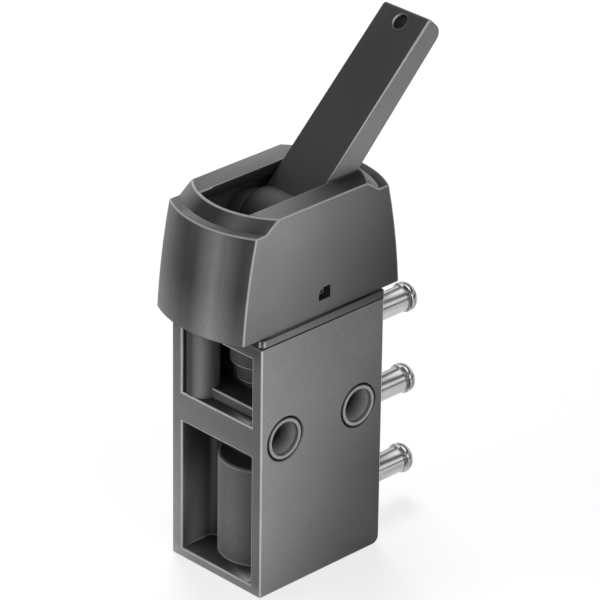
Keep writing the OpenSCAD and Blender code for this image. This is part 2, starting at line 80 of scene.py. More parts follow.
# The camera stands where the photo's edges say
camera = {
    "azimuth": 45.561,  # degrees from the pocket side towards +X
    "elevation": 26.998,
    "roll": 0.778,
    "distance": 631.473 * mm,  # from the aim point
    "aim": (0, 0, 20 * mm),
    "right": 3.219 * mm,  # how far the eye is moved across the view
    "up": 17.266 * mm,
    "lens": 270.04,
    "sensor": 36,
    "nearest": 0.01,
}


def addCamera(values):
    azimuth, elevation, roll = (math.radians(values[k]) for k in ("azimuth", "elevation", "roll"))
    back = Vector((math.sin(azimuth) * math.cos(elevation), -math.cos(azimuth) * math.cos(elevation),
                   math.sin(elevation)))
    level = Vector((math.cos(azimuth), math.sin(azimuth), 0))
    upright = back.cross(level)
    right = level * math.cos(roll) + upright * math.sin(roll)
    up = upright * math.cos(roll) - level * math.sin(roll)
    eye = Vector(values["aim"]) + back * values["distance"] + right * values["right"] + up * values["up"]
    data = bpy.data.cameras.new("camera")
    data.sensor_width = values["sensor"]
    data.lens = values["lens"]
    data.clip_start = values["nearest"]
    item = link(bpy.data.objects.new("camera", data))
    turn = Matrix((right, up, back)).transposed()
    item.matrix_world = Matrix.Translation(eye) @ turn.to_4x4()
    scene.camera = item


addCamera(camera)
print("camera placed")


def setStops(ramp, stops):
    while len(ramp.elements) < len(stops):
        ramp.elements.new(1.0)
    for element, (place, colour) in zip(ramp.elements, stops):
        element.position = place
        element.color = (*colour, 1)


class Wire:
    # One output socket of a node tree. Sums and products of wires add their Math nodes.
    def __init__(self, tree, socket):
        self.tree = tree
        self.socket = socket

    def node(self, kind, settings=None, values=None, out=0):
        made = self.tree.nodes.new(kind)
        for key, value in (settings or {}).items():
            if key == "stops":
                setStops(made.color_ramp, value)
            else:
                setattr(made, key, value)
        for key, value in (values or {}).items():
            if isinstance(value, Wire):
                self.tree.links.new(value.socket, made.inputs[key])
            else:
                made.inputs[key].default_value = value
        return Wire(self.tree, made.outputs[out])

    def maths(self, operation, other=0.0, swapped=False, clamp=False):
        left, right = (other, self) if swapped else (self, other)
        return self.node("ShaderNodeMath", {"operation": operation, "use_clamp": clamp}, {0: left, 1: right})

    def __add__(self, other):
        return self.maths("ADD", other)

    def __sub__(self, other):
        return self.maths("SUBTRACT", other)

    def __rsub__(self, other):
        return self.maths("SUBTRACT", other, swapped=True)

    def __mul__(self, other):
        return self.maths("MULTIPLY", other)

    def __truediv__(self, other):
        return self.maths("DIVIDE", other)

    def __rtruediv__(self, other):
        return self.maths("DIVIDE", other, swapped=True)

    def __pow__(self, other):
        return self.maths("POWER", other)

    def __abs__(self):
        return self.maths("ABSOLUTE")

    __radd__ = __add__
    __rmul__ = __mul__

    def clamped(self):
        return self.maths("ADD", clamp=True)


def startFinish(name, **uniform):
    material = bpy.data.materials.new(name)
    material.use_nodes = True
    tree = material.node_tree
    shader = tree.nodes["Principled BSDF"]
    for socket, value in uniform.items():
        shader.inputs[socket.replace("_", " ")].default_value = value
    coords = tree.nodes.new("ShaderNodeTexCoord")
    return material, shader, Wire(tree, coords.outputs["Object"]), Wire(tree, coords.outputs["Normal"])


def feed(shader, **wires):
    for socket, wire in wires.items():
        wire.tree.links.new(wire.socket, shader.inputs[socket.replace("_", " ")])


def axisOf(vector, axis):
    return vector.node("ShaderNodeSeparateXYZ", None, {0: vector}, axis)


def parts(vector):
    return [axisOf(vector, i) for i in range(3)]


def inMm(place):
    return [part / mm for part in parts(place)]


def noise(place, size, detail, rough=0.5):  # size in mm
    return place.node("ShaderNodeTexNoise", None,
                      {"Vector": place, "Scale": 1 / (size * mm), "Detail": detail, "Roughness": rough})


def bump(height, depth, strength):  # depth in mm
    return height.node("ShaderNodeBump", None, {"Height": height, "Distance": depth * mm, "Strength": strength})


def ramp(value, start, end):  # 0 at the start, 1 at the end
    return value.node("ShaderNodeMapRange", None, {"Value": value, "From Min": start, "From Max": end})


def near(value, centre, reach):  # 1 at the centre, 0 beyond the reach
    return (1 - abs(value - centre) / reach).clamped()


def mask(depth, sharpness=9):  # 0 outside a border, and 1 from 1 / sharpness mm inside it
    return (depth * sharpness).clamped()


def distance(first, second):
    return (first * first + second * second) ** 0.5


def blend(amount, low, high):  # low where the amount is 0, high where it is 1
    return low + amount * (high - low)


def blendColours(amount, low, high):
    # inputs 6 and 7 and output 2 are the Mix node's colour sockets
    return amount.node("ShaderNodeMix", {"data_type": "RGBA"}, {0: amount, 6: (*low, 1), 7: (*high, 1)}, 2)


# What all the moulded plastics share: soft clouds and a fine grain, a painted highlight on the rounded edges and
# painted shade at the joints
moulding = {
    "cloud": 11, "cloudTone": 0.3, "cloudRough": 0.12,
    "grainTone": 0.5, "grainRough": 0.1, "grainDepth": 0.012, "grainStrength": 0.5,
    "darkest": 0.004,
    "edgeShare": 0.65,  # how far the rounded edges take their painted highlight tone
    "seams": (39.1, 40.4), "seamReach": 0.3, "seamShade": 1.4,  # painted shade at the joints under and over the carrier plate
}

# Each plastic, in mm, with light and shade painted into its colour. Its levels are the painted tones of the faces
# that look along X, Y and Z, and of the slanted ones: lit and shaded copies of one plastic.
# These four are the directions 0 to 3. Its edge tone is the painted highlight on the rounded edges.
# A fade paints shade or light: it multiplies one direction by 1 + gain: direction, gain, ramps of (axis, start,
# end).
# A band adds painted light, or painted shade where its tone is below 0, to one direction: direction, axis,
# middle, reach, tone.
plastics = {
    "housing": {
        "shadedLevels": (0.245, 0.2, 0.17, 0.3), "edge": 0.6, "rough": 0.5, "gloss": 0.3, "grain": 0.26,
        "shadeFades": (
            (0, -0.44, ((1, -11.7, 11.7),)),
            (0, -0.6, ((1, -11.7, 11.7), (2, 34, 14))),
            (0, -0.2, ((2, 16, 36),)),
            (0, -0.08, ((2, 12, 2),)),
            (1, -0.45, ((2, 8, 38),)),
            # painted shadow on the front under the cap's overhang
            (1, -0.5, ((2, 35.5, 38.5),)),
            (1, -0.35, ((0, -9, 9),)),
            (1, 0.32, ((0, -6, -9), (2, 22, 6))),
        ),
        "paintedBands": ((1, 2, 0.5, 1.6, 0.1),),
        # painted shade in the pockets, painted light on the barrel, the column and the wall's foot, and painted
        # highlight lines at the barrel's top and along the floor
        "pocket": {
            "middle": -5.7, "reach": 5.8, "sharp": 30,  # along Y
            "half": 7.4, "barrelHalf": 6.3,  # along X
            "right": 0.78, "floor": 0.82, "back": 0.6,  # painted shade inside the pockets
            "barrel": 3.2,  # painted light on the barrel's left
            "rim": {"height": 16.5, "reach": 0.13, "shade": 0.75, "light": 0.3},
            "column": {"low": 25.6, "out": -2.9, "front": -11.66, "start": 0, "end": 0.65,
                       "shade": 0.2, "light": 1.65},
            "wall": {"out": -6.6, "top": 16, "foot": 3, "shade": 0.45, "light": 2.4},
            "line": {"height": 1.52, "reach": 0.16, "tone": 0.22},
        },
        # painted shade in the groove around each mounting sleeve
        "groove": {"y": 7.1, "z": 23.75, "radius": 3.2, "reach": 0.28, "shade": 1.5},
    },
    "cap": {
        "shadedLevels": (0.21, 0.012, 0.21, 0.02), "edge": 0.45, "rough": 0.45, "gloss": 0.25, "grain": 0.24,
        "shadeFades": (
            # painted shade: sides darker to the back and the bottom, top faces darker at the front, along the
            # rails and on the rear ledge
            (0, -0.7, ((1, -8, 15),)),
            (0, -0.4, ((2, 56, 41),)),
            (0, -0.35, ((1, -2, 13), (2, 54, 42))),
            (2, -0.3, ((2, 56.3, 57.3),)),
            (2, -0.25, ((1, -8.5, -11.5),)),
            (2, -0.6, ((0, -3, 5), (1, -9.5, -11))),
            (2, -0.93, ((0, 4, 5), (1, -10, 5))),
            (2, -0.35, ((0, -4, -5), (1, 5, -9))),
            (2, -0.85, ((1, 10, 11),)),
            # painted light on the rear collar's corner on the +X side
            (3, 18, ((0, 4.5, 7), (1, 8.5, 10))),
        ),
        "paintedBands": (
            # painted reflection bands across the curved front, painted shade at its edges, and painted light on
            # the collar
            (1, 0, 3.6, 3.6, 0.17), (1, 0, -10, 8, 0.15), (1, 2, 40, 8, 0.08), (1, 0, 9, 2, -0.03),
            (1, 1, -11.7, 0.6, -0.12),
            (3, 0, 4.2, 3.3, 0.09), (3, 0, -8, 5, 0.2), (3, 1, 10.8, 3, 0.16),
        ),
        # painted shade on the slot's walls and on the edges inside it
        "slot": {"half": 4.95, "wallShade": 0.85, "length": 8.2, "endSharp": 4, "edgeShade": 0.9},
        # painted shade on the walls of the opening over each snap peg
        "window": {"y": 0.4, "z": 43.6, "half": 1.3, "sharp": 6, "face": 8.6, "shade": 0.8},
    },
    "lever": {
        # the broad faces painted darker than the sides: painted shade by facing
        "shadedLevels": (0.22, 0.06, 0.06, 0.043), "edge": 0.26, "rough": 0.5, "gloss": 0.25, "grain": 0.22,
        "shadeFades": (), "paintedBands": (),
        # painted light on the hub, painted shade on the edges around it and a painted highlight on those to its
        # right; painted light at the tip hole's mouth and painted shade inside it
        "hub": {"height": 50.7, "radius": 5.2, "tone": 0.075, "left": -3, "right": 3, "fade": 0.5,
                "edgeRadius": 5.8, "edgeSharp": 4, "edgeShade": 0.85, "rightEdgeHighlight": 0.3},
        "hole": {"out": 33.05, "radius": 1.33, "face": 0.62, "fade": 0.25, "light": 3.0, "shade": 0.93},
    },
}


# Painted shade in the groove around each mounting sleeve
def grooveShade(spot, groove):
    away = distance(abs(spot[1]) - groove["y"], spot[2] - groove["z"])
    return 1 - (near(away, groove["radius"], groove["reach"]) * groove["shade"]).clamped()


# Painted shade on the pocket walls and floor, painted light on the barrel, the column and the wall's foot, and
# painted highlight lines around the barrel's top and along the floor
def paintPocketLight(shadedLevels, spot, ways, pocket):
    column, wall, rim, line = (pocket[key] for key in ("column", "wall", "rim", "line"))
    toRight, toLeft = ways[0].clamped(), (0 - ways[0]).clamped()
    depth = near(spot[1], pocket["middle"], pocket["reach"])
    across = mask(pocket["half"] - abs(spot[0]))
    inside = across * mask(depth, pocket["sharp"])
    barrel = inside * mask(pocket["barrelHalf"] - abs(spot[0]))
    onColumn = across * mask(spot[2] - column["low"]) * mask(column["out"] - spot[0])
    onColumn = onColumn * mask(spot[1] - column["front"], pocket["sharp"])
    turn = ramp(ways[0], column["start"], column["end"])
    columnShading = blend(onColumn, 1, blend(turn, column["shade"], column["light"]))
    onWall = inside * toRight * mask(wall["out"] - spot[0])
    wallShading = blend(onWall, 1, blend(ramp(spot[2], wall["top"], wall["foot"]), wall["shade"], wall["light"]))
    floorHighlight = inside * near(spot[2], line["height"], line["reach"]) * line["tone"]
    rimHighlight = inside * near(spot[2], rim["height"], rim["reach"]) * rim["light"]

    shadedLevels[0] = shadedLevels[0] * (1 - inside * toRight * pocket["right"]) * (1 + barrel * toLeft * pocket["barrel"])
    shadedLevels[0] = shadedLevels[0] * columnShading * wallShading + floorHighlight
    shadedLevels[1] = shadedLevels[1] * (1 - inside * depth * pocket["back"]) * columnShading + floorHighlight
    shadedLevels[2] = shadedLevels[2] * (1 - inside * pocket["floor"])
    shadedLevels[3] = shadedLevels[3] * (1 - inside * rim["shade"]) + rimHighlight


# Painted shade on the walls of the opening over each snap peg
def windowShade(spot, window):
    inside = near(spot[1], window["y"], window["half"]) * near(spot[2], window["z"], window["half"])
    behind = mask(window["face"] - abs(spot[0]))
    return 1 - mask(inside, window["sharp"]) * behind * window["shade"]


# Painted light on the hub, lighter than the faces, and at the tip hole's mouth, with painted shade behind it
def paintLeverLight(tone, spot, hub, hole):
    rise = spot[2] - hub["height"]
    onHub = (hub["radius"] - distance(spot[1], rise)).clamped()
    hubFade = 1 - ramp(spot[0], hub["left"], hub["right"]) * hub["fade"]
    tone = tone.maths("MAXIMUM", onHub * hubFade * hub["tone"])
    lean = math.sqrt(0.5)  # the lever leans at 45 degrees
    along, through = (spot[1] + rise) * lean, (rise - spot[1]) * lean
    onWall = mask(hole["radius"] - distance(along - hole["out"], spot[0]))
    deep = ((hole["face"] - through) / hole["fade"]).clamped()
    return tone * (1 + onWall * (1 - deep) * hole["light"]) * (1 - onWall * deep * hole["shade"])


# The plastic's tone with light and shade painted in: by facing, by the fades and bands, and in the pockets, slot,
# groove, window, hub and hole
def plasticPaintedTone(spot, ways, values):
    shadedLevels = list(values["shadedLevels"])
    for way, gain, ramps in values["shadeFades"]:
        for axis, start, end in ramps:
            gain = ramp(spot[axis], start, end) * gain
        shadedLevels[way] = shadedLevels[way] * (1 + gain)
    for way, axis, middle, reach, tone in values["paintedBands"]:
        shadedLevels[way] = shadedLevels[way] + near(spot[axis], middle, reach) * tone
    if "pocket" in values:
        paintPocketLight(shadedLevels, spot, ways, values["pocket"])
    if "slot" in values:
        slot = values["slot"]
        shadedLevels[0] = shadedLevels[0] * (1 - mask(slot["half"] - abs(spot[0])) * slot["wallShade"])
    slanted = (ways[1] * ways[2] * 2) ** 2  # 1 on a face that leans by 45 degrees
    straight = sum(way * way * level for way, level in zip(ways, shadedLevels))
    tone = blend(slanted, straight, shadedLevels[3])
    if "groove" in values:
        tone = tone * grooveShade(spot, values["groove"])
    if "window" in values:
        tone = tone * windowShade(spot, values["window"])
    if "hub" in values:
        tone = paintLeverLight(tone, spot, values["hub"], values["hole"])
    return tone


# Painted highlight on the rounded edges, painted shade on them at the seams, in the cap's slot and around the
# hub, and a painted highlight on the hub's edges to its right
def edgePaintedTone(tone, spot, values):
    tone = blend(moulding["edgeShare"], tone, values["edge"])
    for seam in moulding["seams"]:
        tone = tone * (1 - near(spot[2], seam, moulding["seamReach"]) * moulding["seamShade"]).clamped()
    if "slot" in values:
        slot = values["slot"]
        within = mask(slot["half"] - abs(spot[0])) * mask(slot["length"] - abs(spot[1]), slot["endSharp"])
        tone = tone * (1 - within * slot["edgeShade"])
    if "hub" in values:
        hub = values["hub"]
        rise = spot[2] - hub["height"]
        onHub = mask(hub["edgeRadius"] - distance(spot[1], rise), hub["edgeSharp"])
        tone = tone + (spot[0] - hub["right"]).clamped() * (rise - spot[1]).clamped() * hub["rightEdgeHighlight"]
        tone = tone * (1 - onHub * hub["edgeShade"])
    return tone


def plasticFinish(name, values, edge=False):
    material, shader, place, facing = startFinish(name, Specular_IOR_Level=values["gloss"])
    spot = inMm(place)
    cloud = noise(place, moulding["cloud"], detail=3.0) - 0.5
    grain = noise(place, values["grain"], detail=2.0, rough=0.6) - 0.5
    tone = plasticPaintedTone(spot, parts(facing), values)
    if edge:
        tone = edgePaintedTone(tone, spot, values)
    tone = tone * (1 + cloud * moulding["cloudTone"] + grain * moulding["grainTone"])
    tone = tone.maths("MAXIMUM", moulding["darkest"])
    feed(shader, Base_Color=blendColours(tone, (0.0, 0.0, 0.0), (1.0, 1.0, 1.0)),
         Roughness=values["rough"] + cloud * moulding["cloudRough"] + grain * moulding["grainRough"],
         Normal=bump(grain, moulding["grainDepth"], moulding["grainStrength"]))
    return material


# What all the metals share, in mm: soft clouds, streaks drawn out along the axis, rings from the tool that waver,
# and how dark the painted shade rings are
turning = {
    "plain": 0.2, "cloud": 3, "cloudTone": 0.6, "cloudRough": 0.1,
    "line": 0.7, "lineSquash": 0.04,
    "ringTone": 0.06, "ringWaver": 6, "ringDepth": 0.003, "ringStrength": 0.3, "shadeRingTone": 1.6,
}

# Each metal, in mm. The dark entries hold the place and reach of each painted shade ring along the axis.
# The deep entries hold the ramps (start, end, gain) of painted shade and light along the bore of a sleeve.
metals = {
    "nickel": {
        "low": 0.48, "high": 0.92, "tint": (1, 1, 0.98), "rough": 0.2, "ring": 0.22, "axis": 1, "streak": 0.8,
        "shadeRings": ((24.1, 0.32), (25.0, 0.2)),
    },
    "bushSteel": {
        "deepest": 0.0, "low": 0.2, "high": 0.42, "tint": (1, 1, 1), "rough": 0.42, "ring": 0.3, "axis": 0,
        "streak": 0.2, "metallic": 0.35, "shadeRings": (),
        "deep": ((8.985, 8.94, 0.7), (8.75, 8.3, -3.6), (8.3, 5.4, 0.93)),
        "groove": {"y": 7.1, "z": 23.75, "radius": 3.25, "reach": 0.26, "shade": 1.5},
    },
    "brass": {
        "low": 0.55, "high": 0.75, "tint": (1, 0.75, 0.36), "rough": 0.3, "ring": 0.2, "axis": 2, "streak": 0.1,
        "shadeRings": (),
    },
    "steel": {
        "low": 0.45, "high": 0.68, "tint": (1, 1, 1), "rough": 0.28, "ring": 0.15, "axis": 2, "streak": 0.1,
        "shadeRings": (),
    },
}


def metalFinish(name, values):
    material, shader, place, _ = startFinish(name, Metallic=values.get("metallic", 1.0))
    spot = inMm(place)
    along = spot[values["axis"]]
    cloud = noise(place, turning["cloud"], detail=4.0)
    squash = [turning["lineSquash"] if i == values["axis"] else 1.0 for i in range(3)]
    drawn = place.node("ShaderNodeVectorMath", {"operation": "MULTIPLY"}, {0: place, 1: squash})
    streaks = (noise(drawn, turning["line"], detail=3.0, rough=0.6) - 0.5) * 2
    rings = (along * (2 * math.pi / values["ring"]) + cloud * turning["ringWaver"]).maths("SINE")
    tone = cloud * turning["cloudTone"] + streaks * values["streak"] + rings * turning["ringTone"]
    tone = tone + turning["plain"]
    # painted shade rings at the barb's shoulder and on its head
    for middle, reach in values["shadeRings"]:
        tone = tone - near(along, middle, reach) * turning["shadeRingTone"]
    if "groove" in values:  # painted shade around the sleeve and painted shade and light down its bore; tones run from -1 to 1, so they are shaded from -1 up
        tone = (tone + 1) * grooveShade(spot, values["groove"]) - 1
        for start, end, gain in values["deep"]:
            tone = (tone + 1) * (1 - ramp(abs(along), start, end) * gain) - 1
    low, high = (tuple(values[end] * part for part in values["tint"]) for end in ("low", "high"))
    deepest = tuple(part * values.get("deepest", 0.4) for part in low)
    level = ramp(tone, -1.0, 1.0)
    stops = ((0.0, deepest), (0.5, low), (1.0, high))
    feed(shader, Base_Color=level.node("ShaderNodeValToRGB", {"stops": stops}, {0: level}),
         Roughness=values["rough"] + (cloud - 0.5) * turning["cloudRough"],
         Normal=bump(rings, turning["ringDepth"], turning["ringStrength"]))
    return material


# Plain finishes, in mm: one cloud of tones between two colours
clouded = {
    "rubber": {"size": 0.9, "detail": 4.0, "low": (0.02, 0.02, 0.02), "high": (0.05, 0.05, 0.05), "rough": 0.6,
               "cloudRough": 0.15, "depth": 0.02, "strength": 0.4, "uniform": {"Specular_IOR_Level": 0.35}},
    "acetal": {"size": 2, "detail": 3.0, "low": (0.72, 0.7, 0.64), "high": (0.84, 0.82, 0.76), "rough": 0.35,
               "cloudRough": 0.1, "depth": 0.01, "strength": 0.3, "uniform": {"Subsurface_Weight": 0.05}},
}


def cloudedFinish(name, values):
    material, shader, place, _ = startFinish(name, **values["uniform"])
    cloud = noise(place, values["size"], values["detail"])
    feed(shader, Base_Color=blendColours(cloud, values["low"], values["high"]),
         Roughness=values["rough"] + cloud * values["cloudRough"],
         Normal=bump(cloud, values["depth"], values["strength"]))
    return material


finishes = {
    "housing_plastic": plasticFinish("housingPlastic", plastics["housing"]),
    "cap_plastic": plasticFinish("capPlastic", plastics["cap"]),
    "lever_plastic": plasticFinish("leverPlastic", plastics["lever"]),
    "bush_metal": metalFinish("bushSteel", metals["bushSteel"]),
    "barb_nickel": metalFinish("nickelPlate", metals["nickel"]),
    "insert_brass": metalFinish("turnedBrass", metals["brass"]),
    "plunger_steel": metalFinish("plungerSteel", metals["steel"]),
    "spring_steel": metalFinish("springSteel", metals["steel"]),
    "pin_steel": metalFinish("pinSteel", metals["steel"]),
    "poppet_plastic": cloudedFinish("acetal", clouded["acetal"]),
    "seal_rubber": cloudedFinish("nitrileRubber", clouded["rubber"]),
}
# Lighter copies of the plastics for the rounded edges: a painted highlight
edgeHighlightFinishes = {
    "housing_plastic": plasticFinish("housingEdgeHighlight", plastics["housing"], edge=True),
    "cap_plastic": plasticFinish("capEdgeHighlight", plastics["cap"], edge=True),
    "lever_plastic": plasticFinish("leverEdgeHighlight", plastics["lever"], edge=True),
}
slotOf = {row["node"]: row["material_slot"] for row in frame["record"]["subparts"]}
for name, item in cad.items():
    item.data.materials.clear()
    item.data.materials.append(finishes[slotOf[name]])
print("finishes on", len(cad), "nodes")


# Moulded edges, in mm: a merged copy of the node, its outward edges rounded and given a painted highlight, its
# inward ones sharp.
# The cuts (axis, place) part the flat faces that have holes in them. Edges inside a "crisp" box stay sharp.
edges = {
    "housing": {
        "width": 0.2, "segments": 3, "cuts": ((0, 0), (1, 0), (2, 23.75)),
        "crisp": [((x - 0.8, y - 3.9, 19.8), (x + 0.8, y + 3.9, 27.7)) for x in (-9, 9) for y in (-7.1, 7.1)]
                 + [((-6.2, -9.5, 16), (6.2, 3, 17))],
    },
    "carrier": {"width": 0.15, "segments": 2, "cuts": ((0, 0), (1, 0)), "crisp": []},
    "cap": {
        "width": 0.18, "segments": 3, "cuts": ((0, 0), (1, 0)),
        "crisp": [((-9, -0.9, 42.5), (9, 1.7, 44.7))],
    },
    "lever": {
        "width": 0.24, "segments": 3, "cuts": ((0, 0), (1, 0)),
        "crisp": [((-1.6, 21.2, 71.9), (1.6, 25.6, 76.3))],
    },
}
sharpAngle = math.radians(32)
flatAngle = math.radians(0.4)
mergeReach = 0.001 * mm


def isCrisp(edge, boxes):
    middle = (edge.verts[0].co + edge.verts[1].co) / 2 / mm
    return any(all(low < c < high for low, c, high in zip(box[0], middle, box[1])) for box in boxes)


def roundEdges(node, values):
    mesh = cad[node].data.copy()
    work = bmesh.new()
    work.from_mesh(mesh)
    bmesh.ops.remove_doubles(work, verts=work.verts, dist=mergeReach)
    for axis, place in values["cuts"]:
        across = Vector([1.0 if i == axis else 0.0 for i in range(3)])
        parted = bmesh.ops.bisect_plane(work, geom=work.verts[:] + work.edges[:] + work.faces[:],
                                        plane_co=across * place * mm, plane_no=across, dist=mergeReach)
        for item in parted["geom_cut"]:
            if isinstance(item, bmesh.types.BMEdge):
                item.seam = True
    bmesh.ops.dissolve_limit(work, angle_limit=flatAngle, verts=work.verts, edges=work.edges, delimit={"SEAM"})
    weight = work.edges.layers.float.new("bevel_weight_edge")
    for face in work.faces:
        face.smooth = True
    for edge in work.edges:
        turn = edge.calc_face_angle_signed(0)
        edge[weight] = 1.0 if turn > sharpAngle and not isCrisp(edge, values["crisp"]) else 0.0
        edge.smooth = abs(turn) < sharpAngle or edge[weight] == 1.0
    work.to_mesh(mesh)
    work.free()
    item = link(bpy.data.objects.new(node + "_rounded", mesh))
    mesh.materials.append(edgeHighlightFinishes[slotOf[node]])
    bevel = item.modifiers.new("edges", "BEVEL")
    bevel.width = values["width"] * mm
    bevel.segments = values["segments"]
    bevel.limit_method = "WEIGHT"
    bevel.harden_normals = True
    bevel.use_clamp_overlap = False
    bevel.material = 1
    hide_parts(node)
    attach(item, cad[node]["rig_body"])


for node, values in edges.items():
    roundEdges(node, values)
print("edges rounded on", len(edges), "nodes")


def newTree(name, inputs):
    tree = bpy.data.node_groups.new(name, "GeometryNodeTree")
    for label, kind in (("Geometry", "Geometry"), *inputs):
        tree.interface.new_socket(name=label, in_out="INPUT", socket_type="NodeSocket" + kind)
    tree.interface.new_socket(name="Geometry", in_out="OUTPUT", socket_type="NodeSocketGeometry")
    start = tree.nodes.new("NodeGroupInput")
    return tree, {socket.name: Wire(tree, socket) for socket in start.outputs if socket.name}


def endTree(shape, material):
    joined = shape.node("GeometryNodeRealizeInstances", None, {0: shape})
    joined = joined.node("GeometryNodeSetMaterial", None, {"Geometry": joined, "Material": material})
    last = shape.tree.nodes.new("NodeGroupOutput")
    shape.tree.links.new(joined.socket, last.inputs["Geometry"])


# Turns a profile about the Y axis, mills flats where the profile asks for them, and repeats the result.
# A profile point holds radius, distance along the axis, and 1 where the flats are milled.
def turnedTree():
    tree, given = newTree("turnedPart", (
        ("Sides", "Int"), ("Flats", "Float"), ("Copies", "Int"), ("Step", "Vector"), ("Place", "Vector"),
        ("Turn", "Vector"), ("Finish", "Material")))
    profile = given["Geometry"]
    count = profile.node("GeometryNodeAttributeDomainSize", None, {"Geometry": profile})
    sheet = profile.node("GeometryNodeMeshGrid", None, {
        "Size X": 1.0, "Size Y": 1.0, "Vertices X": count + 1, "Vertices Y": given["Sides"] + 1})
    spot = profile.node("GeometryNodeInputPosition")
    step = ((axisOf(spot, 0) + 0.5) * count).maths("ROUND").maths("FLOORED_MODULO", count)
    angle = (axisOf(spot, 1) + 0.5) * (2 * math.pi)
    point = profile.node("GeometryNodeSampleIndex", {"data_type": "FLOAT_VECTOR", "domain": "POINT"},
                         {"Geometry": profile, "Value": spot, "Index": step})
    sixth = math.pi / 3
    share = angle.maths("FLOORED_MODULO", sixth) - sixth / 2
    flat = given["Flats"] / 2 / share.maths("COSINE")
    radius = axisOf(point, 0).maths("MINIMUM", flat + (1 - axisOf(point, 2)))
    ring = radius.node("ShaderNodeCombineXYZ", None, {
        "X": radius * angle.maths("COSINE"), "Y": axisOf(point, 1), "Z": radius * angle.maths("SINE")})
    body = sheet.node("GeometryNodeSetPosition", None, {"Geometry": sheet, "Position": ring})
    body = body.node("GeometryNodeMergeByDistance", None, {"Geometry": body, "Distance": mergeReach})
    body = body.node("GeometryNodeTransform", None, {"Geometry": body, "Rotation": given["Turn"]})
    row = body.node("GeometryNodeMeshLine", {"mode": "OFFSET"}, {
        "Count": given["Copies"], "Start Location": given["Place"], "Offset": given["Step"]})
    bodies = row.node("GeometryNodeInstanceOnPoints", None, {"Points": row, "Instance": body})
    endTree(bodies, given["Finish"])
    return tree


# Coil spring along Z with its end turns closed
coiling = {"stepsPerTurn": 32, "sides": 12}


def springTree():
    tree, given = newTree("coilSpring", (
        ("Turns", "Float"), ("Radius", "Float"), ("Height", "Float"), ("Wire", "Float"), ("Base", "Float"),
        ("Finish", "Material")))
    wire, turns = given["Wire"], given["Turns"]
    line = wire.node("GeometryNodeCurvePrimitiveLine")
    line = line.node("GeometryNodeResampleCurve", None, {
        "Curve": line, "Count": turns * coiling["stepsPerTurn"] + 1})
    along = line.node("GeometryNodeSplineParameter")
    angle = along * turns * (2 * math.pi)
    closed = 1 / turns  # the share of the length that one closed turn takes

    def rise(start, end, height):
        return along.node("ShaderNodeMapRange", None, {
            "Value": along, "From Min": start, "From Max": end, "To Min": 0.0, "To Max": height})

    # "Wire" is the wire's radius: one below the first turn, one above the last, two for each closed turn
    level = given["Base"] + wire + rise(0.0, closed, wire * 2) + rise(1 - closed, 1.0, wire * 2)
    level = level + rise(closed, 1 - closed, given["Height"] - wire * 6)
    spot = along.node("ShaderNodeCombineXYZ", None, {
        "X": given["Radius"] * angle.maths("COSINE"), "Y": given["Radius"] * angle.maths("SINE"), "Z": level})
    path = line.node("GeometryNodeSetPosition", None, {"Geometry": line, "Position": spot})
    section = path.node("GeometryNodeCurvePrimitiveCircle", None, {
        "Resolution": coiling["sides"], "Radius": wire})
    coil = path.node("GeometryNodeCurveToMesh", None, {
        "Curve": path, "Profile Curve": section, "Fill Caps": True})
    endTree(coil, given["Finish"])
    return tree


# Runs a tree on a host mesh and keeps the result as a plain mesh that stands for the named nodes
def growPiece(name, tree, given, host, nodes, slot, smooth=30):
    stand = link(bpy.data.objects.new(name + "Host", host))
    grower = stand.modifiers.new("grow", "NODES")
    grower.node_group = tree
    given = {**given, "Finish": finishes[slot]}
    for socket in tree.interface.items_tree:
        if socket.in_out == "INPUT" and socket.name in given:
            grower[socket.identifier] = given[socket.name]
    mesh = bpy.data.meshes.new_from_object(stand.evaluated_get(bpy.context.evaluated_depsgraph_get()))
    bpy.data.objects.remove(stand)
    work = bmesh.new()
    work.from_mesh(mesh)
    bmesh.ops.recalc_face_normals(work, faces=work.faces)
    work.to_mesh(mesh)
    work.free()
    mesh.shade_smooth()
    mesh.set_sharp_from_angle(angle=math.radians(smooth))
    item = link(bpy.data.objects.new(name, mesh))
    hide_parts(*nodes)
    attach(item, "root")
    return item


def profileMesh(name, points):
    mesh = bpy.data.meshes.new(name)
    corners = [(r * mm, y * mm, cut) for r, y, cut in points]
    mesh.from_pydata(corners, [(i, i + 1) for i in range(len(corners) - 1)], [])
    return mesh


# A small round from one straight to the next: centre, radius, first and last angle in degrees
def roundOf(r, y, size, first, last, steps=3):
    angles = [math.radians(first + (last - first) * i / steps) for i in range(steps + 1)]
    return [(r + size * math.cos(a), y + size * math.sin(a), 0) for a in angles]


# Barbed fittings at the three ports, in mm: hexagon, stem, one barb at the tip
fittings = {
    "face": 11.7, "firstPort": 5.1, "pitch": 13.1, "bore": 1.0, "shank": 2.0, "reach": 14.2, "sides": 96,
    "washer": 0.5, "washerRadius": 3.2, "washerRound": 0.12, "washerGap": 0.01,
    "flats": 6.0, "hexLength": 2.2, "hexSeat": 0.3, "chamferIn": 0.1, "chamferSlope": 0.55, "chamferSteps": 6,
    "stem": 1.9, "neckRound": 0.25, "neckStep": 0.1,
    "groove": 0.16, "grooveStart": 0.45, "grooveSlope": 0.05,  # before the barb's head
    "barb": 2.2, "barbLength": 1.5, "barbRise": 0.12, "land": 0.35, "round": 0.08, "tipFlat": 0.5, "noseStep": 15,
}


